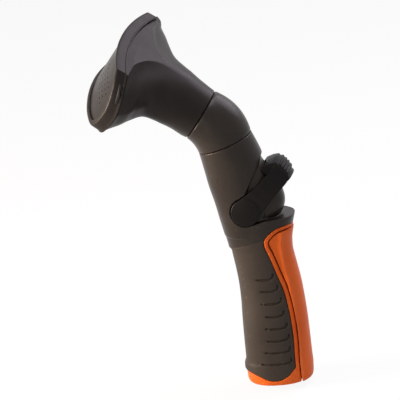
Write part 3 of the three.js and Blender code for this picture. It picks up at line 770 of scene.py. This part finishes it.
def make_head_shell(dark):
    """One closed skin: out along the tube, over the flare to the mouth, and back inside."""
    steps = 72
    inner_steps = 30
    bore = SPIGOT_RADIUS + RUN
    seat = -PLATE_RECESS - PLATE_THICK - GASKET_ROOM
    stations = [
        ("tube", GAP, bore),
        ("tube", GAP, THROAT_RADIUS - 1),
        ("tube", GAP + 0.1, THROAT_RADIUS - 0.5),
        ("tube", GAP + 0.5, THROAT_RADIUS - 0.05),
        ("tube", 4, THROAT_RADIUS + 0.3),
        *[("flare", i / steps, 0) for i in range(steps + 1)],
        ("face", -BEZEL_DEPTH - 1.4, SHELL_STEP),
        ("face", -BEZEL_DEPTH - GAP, SHELL_STEP),
        ("face", -BEZEL_DEPTH - GAP, PLATE_INSET),
        ("face", seat, PLATE_INSET),
        ("face", seat, PLATE_INSET + SHELL_WALL),
        ("face", -BEZEL_DEPTH - 2.5, PLATE_INSET + SHELL_WALL),
        *[("flare", 1 - i / inner_steps, SHELL_WALL) for i in range(inner_steps + 1)],
        ("tube", 10, bore),
        ("tube", GAP, bore),
    ]

    def surface(turn, share):
        kind, place, inset = stations[round(share * (len(stations) - 1))]
        if kind == "tube":
            t, w = throat_point(turn, inset)
            local = Vector((t, w, place))
        elif kind == "flare":
            reach, back, spread = through(HEAD, place)
            local = head_point(turn, reach + inset, back, spread, inset)
        else:
            local = face_point(turn, place, inset)
        return INTO_HEAD @ local

    shell = skin("shell", surface, AROUND, len(stations) - 1)
    finish_piece(shell, "fan_shell", "fan_head", dark, ["head_shell"], sharp=24)


def make_bezel(dark):
    """The rim round the face: a band with a lip at its back edge and a catch over the plate."""
    foot = -BEZEL_DEPTH
    catch = -PLATE_RECESS + 0.3
    profile = [
        (2.2, foot), (-0.1, foot), (-0.35, foot + 0.15), (-0.45, foot + 0.45), (-0.35, foot + 0.8),
        (0, foot + 1.1), (0.05, foot + 2.5), (0.1, -3), (0.2, -1), (0.35, -0.4), (0.7, -0.1), (1.2, 0),
        (2.3, -0.1), (2.9, -0.4), (3.1, -0.8), (3.1, catch), (2.2, catch),
    ]
    profile.append(profile[0])

    def surface(turn, share):
        inset, height = profile[round(share * (len(profile) - 1))]
        return INTO_HEAD @ face_point(turn, height, inset)

    bezel = skin("bezel", surface, AROUND * 2, len(profile) - 1)
    finish_piece(bezel, "face_bezel", "fan_head", dark, ["bezel"], sharp=38)


def make_plate(dark):
    """The face plate, with staggered rows of round spray holes square to its curve."""
    cell = HOLE_PITCH / 2
    margin = 0.35
    columns = 2 * math.ceil(1.1 * MOUTH_HALF / cell)
    rows = 2 * math.ceil(1.1 * MOUTH_TOP / ROW_PITCH)
    made = bmesh.new()
    bmesh.ops.create_grid(made, x_segments=rows, y_segments=columns, size=0.5)
    bmesh.ops.scale(made, vec=(rows * ROW_PITCH, columns * cell, 1), verts=made.verts)
    holes = []
    for face in made.faces:
        middle = face.calc_center_median()
        row = round(middle.x / ROW_PITCH + (HOLE_ROWS - 1) / 2)
        shift = 0.25 if row % 2 else -0.25
        at = middle.y / HOLE_PITCH + (HOLES_PER_ROW - 1) / 2 - shift
        if 0 <= row < HOLE_ROWS and abs(at - round(at)) < 0.1 and 0 <= round(at) < HOLES_PER_ROW:
            holes.append(face)
    bmesh.ops.inset_individual(made, faces=holes, thickness=margin)
    edges = {edge for face in holes for edge in face.edges}
    bmesh.ops.subdivide_edges(made, edges=list(edges), cuts=3)
    for face in holes:
        middle = face.calc_center_median()
        for vert in face.verts:
            offset = vert.co - middle
            angle = math.atan2(offset.y / (cell - 2 * margin), offset.x / (ROW_PITCH - 2 * margin))
            vert.co = middle + HOLE_RADIUS * Vector((math.cos(angle), math.sin(angle), 0))
    bmesh.ops.delete(made, geom=holes, context="FACES")
    for vert in made.verts:
        t, w = vert.co.x, vert.co.y
        vert.co = Vector((MOUTH_RISE + t, w, FACE_REACH - PLATE_RECESS - setback(w)))
    mesh = bpy.data.meshes.new("plate")
    bmesh.ops.recalc_face_normals(made, faces=made.faces)
    made.to_mesh(mesh)
    made.free()
    plate = linked("plate", mesh)
    thick = plate.modifiers.new("thickness", "SOLIDIFY")
    thick.thickness = PLATE_THICK
    thick.offset = -1 if mesh.polygons[0].normal.z > 0 else 1
    settle(plate)
    outline = [face_point(i / AROUND, 0, PLATE_INSET) for i in range(AROUND)]
    prism = extruded([(point.x, point.y, -10) for point in outline], (0, 0, FACE_REACH + 30), "prism")
    carve(plate, "INTERSECT", prism)
    plate.data.transform(INTO_HEAD)
    finish_piece(plate, "face_plate", "fan_head", dark, ["spray_plate"], sharp=40)


def make_socket(dark):
    """The hose inlet, with its round thread."""
    outer = SOCKET_RADIUS + SOCKET_WALL
    top = SOCKET_DEPTH + SOCKET_FLOOR
    profile = [
        (SOCKET_RADIUS + 0.5, 0), (outer - 0.4, 0), (outer, 0.4), (outer, top), (WATER_RADIUS, top),
        (WATER_RADIUS, SOCKET_DEPTH), (SOCKET_RADIUS, SOCKET_DEPTH), (SOCKET_RADIUS, 0.5),
    ]
    made = bmesh.new()
    corners = [made.verts.new((radius, 0, z)) for radius, z in profile]
    ring = [made.edges.new((corners[i], corners[(i + 1) % len(corners)])) for i in range(len(corners))]
    bmesh.ops.spin(
        made, geom=corners + ring, axis=(0, 0, 1), cent=(0, 0, 0), angle=2 * math.pi, steps=96, use_merge=True
    )
    socket = body_from(made, "socket")
    per_turn = 48
    root = THREAD_PITCH / 2 - 0.25
    sunk, crest = SOCKET_RADIUS + 0.4, SOCKET_RADIUS - THREAD_HEIGHT
    tooth = [(sunk, -root), (crest, -THREAD_CREST), (crest, THREAD_CREST), (sunk, root)]
    thread = bmesh.new()
    corners = [thread.verts.new((radius, 0, z)) for radius, z in tooth]
    ring = [thread.edges.new((corners[i], corners[(i + 1) % 4])) for i in range(4)]
    bmesh.ops.translate(thread, vec=(0, 0, THREAD_START), verts=thread.verts)
    bmesh.ops.spin(
        thread, geom=corners + ring, axis=(0, 0, 1), cent=(0, 0, 0), dvec=(0, 0, THREAD_PITCH / per_turn),
        angle=2 * math.pi * THREAD_TURNS, steps=round(THREAD_TURNS * per_turn),
    )
    carve(socket, "UNION", body_from(thread, "thread"))
    finish_piece(socket, "hose_inlet", "handle", dark, ["hose_socket"], sharp=30)


# Materials
GRAIN_SCALE = 1800.0
WORN_HIGHLIGHT_FROM = 0.53  # pointiness at which edges start to take the painted highlight and rubbed look
WORN_HIGHLIGHT_TO = 0.62


def noise_of(tree, vector, scale, detail=3.0, roughness=0.55):
    noise = tree.nodes.new("ShaderNodeTexNoise")
    noise.inputs["Scale"].default_value = scale
    noise.inputs["Detail"].default_value = detail
    noise.inputs["Roughness"].default_value = roughness
    tree.links.new(vector, noise.inputs["Vector"])
    return noise.outputs["Fac"]


def ranged(tree, value, low, high):
    """A value from 0 to 1 spread from low to high."""
    spread = tree.nodes.new("ShaderNodeMapRange")
    spread.inputs["From Min"].default_value = 0.3
    spread.inputs["From Max"].default_value = 0.7
    for name, end in (("To Min", low), ("To Max", high)):
        if isinstance(end, (int, float)):
            spread.inputs[name].default_value = end
        else:
            tree.links.new(end, spread.inputs[name])
    tree.links.new(value, spread.inputs["Value"])
    return spread.outputs["Result"]


def between(tree, amount, first, second):
    """One colour that goes over into another by an amount."""
    tone = tree.nodes.new("ShaderNodeMix")
    tone.data_type = "RGBA"
    tree.links.new(amount, tone.inputs["Factor"])
    tree.links.new(first, tone.inputs["A"])
    tree.links.new(second, tone.inputs["B"])
    return tone.outputs["Result"]


def new_group(name, inputs, outputs):
    """A node group with its sockets, what it is given and where its results go."""
    group = bpy.data.node_groups.new(name, "ShaderNodeTree")
    for sockets, way in ((inputs, "INPUT"), (outputs, "OUTPUT")):
        for socket, kind in sockets.items():
            group.interface.new_socket(socket, in_out=way, socket_type="NodeSocket" + kind)
    given = group.nodes.new("NodeGroupInput").outputs
    out = group.nodes.new("NodeGroupOutput").inputs
    return group, given, out


def grain_group():
    """Moulded grain: a fine height, slow changes of tone, and a blotchy roughness."""
    group, given, out = new_group(
        "moulded_grain",
        {"Vector": "Vector", "Dark": "Color", "Light": "Color", "Smooth": "Float", "Rough": "Float"},
        {"Color": "Color", "Roughness": "Float", "Height": "Float"},
    )
    fine = noise_of(group, given["Vector"], GRAIN_SCALE, 2.0, 0.5)
    slow = ranged(group, noise_of(group, given["Vector"], 38.0), 0.0, 1.0)
    blotch = noise_of(group, given["Vector"], 130.0, 4.0, 0.65)
    group.links.new(between(group, slow, given["Dark"], given["Light"]), out["Color"])
    group.links.new(ranged(group, blotch, given["Smooth"], given["Rough"]), out["Roughness"])
    group.links.new(fine, out["Height"])
    return group


def wear_and_highlight_group():
    """Sharp edges painted lighter: a painted highlight along them, mixed with uneven rubbed wear."""
    group, given, out = new_group(
        "rubbed_and_highlit_edges",
        {"Vector": "Vector", "Color": "Color", "Highlit and rubbed": "Color", "Amount": "Float"},
        {"Color": "Color"},
    )
    sharp = group.nodes.new("ShaderNodeMapRange")
    sharp.inputs["From Min"].default_value = WORN_HIGHLIGHT_FROM
    sharp.inputs["From Max"].default_value = WORN_HIGHLIGHT_TO
    geometry = group.nodes.new("ShaderNodeNewGeometry")
    group.links.new(geometry.outputs["Pointiness"], sharp.inputs["Value"])
    patchy = ranged(group, noise_of(group, given["Vector"], 90.0, 4.0), 0.2, 1.0)
    amount = sharp.outputs["Result"]
    for factor in (patchy, given["Amount"]):
        times = group.nodes.new("ShaderNodeMath")
        times.operation = "MULTIPLY"
        group.links.new(amount, times.inputs[0])
        group.links.new(factor, times.inputs[1])
        amount = times.outputs[0]
    group.links.new(between(group, amount, given["Color"], given["Highlit and rubbed"]), out["Color"])
    return group


def moulded(name, dark, light, rubbed_and_highlit, smooth, rough, bump=0.06, wear_and_highlight=0.35, specular=0.5):
    """A moulded plastic or rubber: its two tones, the tone of its sharp edges (a painted highlight with some
    rubbed wear), and its range of roughness.
    """
    material = bpy.data.materials.new(name)
    material.use_nodes = True
    tree = material.node_tree
    shader = tree.nodes["Principled BSDF"]
    shader.inputs["Specular IOR Level"].default_value = specular
    place = tree.nodes.new("ShaderNodeTexCoord").outputs["Object"]
    grained = tree.nodes.new("ShaderNodeGroup")
    grained.node_tree = GRAIN
    tree.links.new(place, grained.inputs["Vector"])
    grained.inputs["Dark"].default_value = (*dark, 1)
    grained.inputs["Light"].default_value = (*light, 1)
    grained.inputs["Smooth"].default_value = smooth
    grained.inputs["Rough"].default_value = rough
    # Sharp edges get a painted highlight, mixed with some rubbed wear
    worn_and_highlit = tree.nodes.new("ShaderNodeGroup")
    worn_and_highlit.node_tree = WEAR_AND_HIGHLIGHT
    tree.links.new(place, worn_and_highlit.inputs["Vector"])
    tree.links.new(grained.outputs["Color"], worn_and_highlit.inputs["Color"])
    worn_and_highlit.inputs["Highlit and rubbed"].default_value = (*rubbed_and_highlit, 1)
    worn_and_highlit.inputs["Amount"].default_value = wear_and_highlight
    tree.links.new(worn_and_highlit.outputs["Color"], shader.inputs["Base Color"])
    tree.links.new(grained.outputs["Roughness"], shader.inputs["Roughness"])
    relief = tree.nodes.new("ShaderNodeBump")
    relief.inputs["Strength"].default_value = bump
    relief.inputs["Distance"].default_value = 0.0002
    tree.links.new(grained.outputs["Height"], relief.inputs["Height"])
    tree.links.new(relief.outputs["Normal"], shader.inputs["Normal"])
    return material


GRAIN = grain_group()
WEAR_AND_HIGHLIGHT = wear_and_highlight_group()
# The third colour is the lighter tone of sharp edges, a painted highlight with some rubbed wear; on the orange it
# paints the light line along the back insert's crease bead
BLACK = moulded(
    "black_plastic", (0.0125, 0.0102, 0.0094), (0.0190, 0.0156, 0.0142), (0.060, 0.048, 0.041), 0.28, 0.40,
    bump=0.12, specular=0.11,
)
HOUSING = moulded(
    "housing_plastic", (0.0175, 0.0140, 0.0117), (0.0260, 0.0210, 0.0174), (0.080, 0.065, 0.055), 0.26, 0.37,
    bump=0.07, specular=0.16,
)
LEVER = moulded(
    "lever_plastic", (0.0050, 0.0043, 0.0041), (0.0078, 0.0067, 0.0063), (0.016, 0.013, 0.012), 0.34, 0.46,
    bump=0.1, wear_and_highlight=0.2, specular=0.09,
)
RUBBER = moulded(
    "grip_rubber", (0.0270, 0.0212, 0.0170), (0.0390, 0.0310, 0.0250), (0.13, 0.108, 0.090), 0.42, 0.56,
    bump=0.12, wear_and_highlight=0.5, specular=0.15,
)
ORANGE = moulded(
    "orange_plastic", (0.54, 0.092, 0.0115), (0.64, 0.120, 0.0175), (0.90, 0.30, 0.09), 0.36, 0.48,
    bump=0.05, wear_and_highlight=0.8, specular=0.09,
)
SEAL = moulded(
    "seal_rubber", (0.010, 0.010, 0.010), (0.016, 0.016, 0.016), (0.03, 0.03, 0.03), 0.5, 0.68,
    specular=0.2,
)
WHITE = moulded(
    "white_plastic", (0.62, 0.61, 0.57), (0.70, 0.69, 0.65), (0.8, 0.8, 0.78), 0.3, 0.42,
    bump=0.03,
)

SLOT_MATERIALS = {
    "black_plastic": BLACK,
    "grip_rubber": RUBBER,
    "orange_plastic": ORANGE,
    "seal_rubber": SEAL,
    "white_plastic": WHITE,
}
slot_of = {part["node"]: part["material_slot"] for part in frame["record"]["subparts"]}
for node, obj in frame["nodes"].items():
    obj.data.materials.clear()
    obj.data.materials.append(SLOT_MATERIALS[slot_of[node]])

split_moulding(make_moulding(), HOUSING, RUBBER)
make_frame(ORANGE)
make_spine(ORANGE)
make_lever(LEVER)
make_elbow(HOUSING)
make_head_shell(BLACK)
make_bezel(BLACK)
make_plate(BLACK)
make_socket(BLACK)


# Camera, floor and light
def make_camera():
    """A long lens far off, a little from above, rolled so that the handle leans left in the picture."""
    target = Vector((-40.8, 0, 127.8)) * MM
    towards = Vector((0.125, -0.945, 0.30)).normalized()
    distance = 2.0
    frame_width = 0.264
    lean = math.radians(6.7)
    data = bpy.data.cameras.new("camera")
    data.lens = data.sensor_width * distance / frame_width
    camera = linked("camera", data)
    level = (-towards).cross(Vector((0, 0, 1))).normalized()
    upright = level.cross(-towards)
    up = upright * math.cos(lean) + level * math.sin(lean)
    right = level * math.cos(lean) - upright * math.sin(lean)
    turn = Matrix((right, up, towards)).transposed().to_4x4()
    camera.matrix_world = Matrix.Translation(target + towards * distance) @ turn
    bpy.context.scene.camera = camera


def seen_white(tree, path):
    """1 for the rays that see the white surround: the camera's, reflections and what glass shows."""
    value = path.outputs["Is Camera Ray"]
    for name in ("Is Glossy Ray", "Is Transmission Ray"):
        either = tree.nodes.new("ShaderNodeMath")
        either.operation = "MAXIMUM"
        tree.links.new(value, either.inputs[0])
        tree.links.new(path.outputs[name], either.inputs[1])
        value = either.outputs[0]
    return value


def make_stage():
    """A pale floor that the camera and reflections see as nearly white."""
    drop = 0.004
    glow_share = 0.92
    made = bmesh.new()
    bmesh.ops.create_grid(made, x_segments=1, y_segments=1, size=6)
    mesh = bpy.data.meshes.new("floor")
    made.to_mesh(mesh)
    made.free()
    floor = linked("floor", mesh)
    floor.location.z = cad_bounds[0][2] - drop
    material = bpy.data.materials.new("pale_floor")
    material.use_nodes = True
    tree = material.node_tree
    tree.nodes.clear()
    out = tree.nodes.new("ShaderNodeOutputMaterial")
    matt = tree.nodes.new("ShaderNodeBsdfDiffuse")
    matt.inputs["Color"].default_value = (0.8, 0.8, 0.8, 1)
    glow = tree.nodes.new("ShaderNodeEmission")
    glow.inputs["Color"].default_value = (1, 1, 1, 1)
    mixed = tree.nodes.new("ShaderNodeMixShader")
    path = tree.nodes.new("ShaderNodeLightPath")
    part = tree.nodes.new("ShaderNodeMath")
    part.operation = "MULTIPLY"
    part.inputs[1].default_value = glow_share
    tree.links.new(seen_white(tree, path), part.inputs[0])
    tree.links.new(part.outputs[0], mixed.inputs["Fac"])
    tree.links.new(matt.outputs[0], mixed.inputs[1])
    tree.links.new(glow.outputs[0], mixed.inputs[2])
    tree.links.new(mixed.outputs[0], out.inputs["Surface"])
    mesh.materials.append(material)


def make_lights():
    """A dim room that looks white to the camera, and four lamps."""
    world = bpy.data.worlds.new("surround")
    bpy.context.scene.world = world
    world.use_nodes = True
    tree = world.node_tree
    tree.nodes.clear()
    out = tree.nodes.new("ShaderNodeOutputWorld")
    room = tree.nodes.new("ShaderNodeBackground")
    room.inputs["Color"].default_value = (0.96, 0.94, 1.0, 1)
    room.inputs["Strength"].default_value = 0.06
    white = tree.nodes.new("ShaderNodeBackground")
    white.inputs["Strength"].default_value = 1.0
    white.inputs["Color"].default_value = (1, 1, 1, 1)
    mixed = tree.nodes.new("ShaderNodeMixShader")
    path = tree.nodes.new("ShaderNodeLightPath")
    tree.links.new(seen_white(tree, path), mixed.inputs["Fac"])
    tree.links.new(room.outputs[0], mixed.inputs[1])
    tree.links.new(white.outputs[0], mixed.inputs[2])
    tree.links.new(mixed.outputs[0], out.inputs["Surface"])
    middle = Vector((-0.03, 0, 0.13))
    lamps = [
        ("left_window", (-0.95, -0.20, 0.32), 0.5, 24.0, (1.0, 0.80, 0.63)),
        ("top_panel", (0.10, 0.05, 0.95), 0.6, 5.5, (0.96, 0.90, 1.0)),
        ("back_right", (0.55, 0.52, 0.75), 0.75, 5.5, (0.96, 0.88, 1.0)),
        ("front_fill", (-0.55, -0.85, 0.35), 0.8, 2.8, (1.0, 0.90, 0.80)),
    ]
    for name, place, size, power, color in lamps:
        data = bpy.data.lights.new(name, "AREA")
        data.shape = "DISK"
        data.size = size
        data.energy = power
        data.color = color
        lamp = linked(name, data)
        lamp.location = place
        lamp.rotation_euler = (middle - Vector(place)).to_track_quat("-Z", "Y").to_euler()


make_camera()
make_stage()
make_lights()
bpy.context.scene.view_settings.view_transform = "Standard"
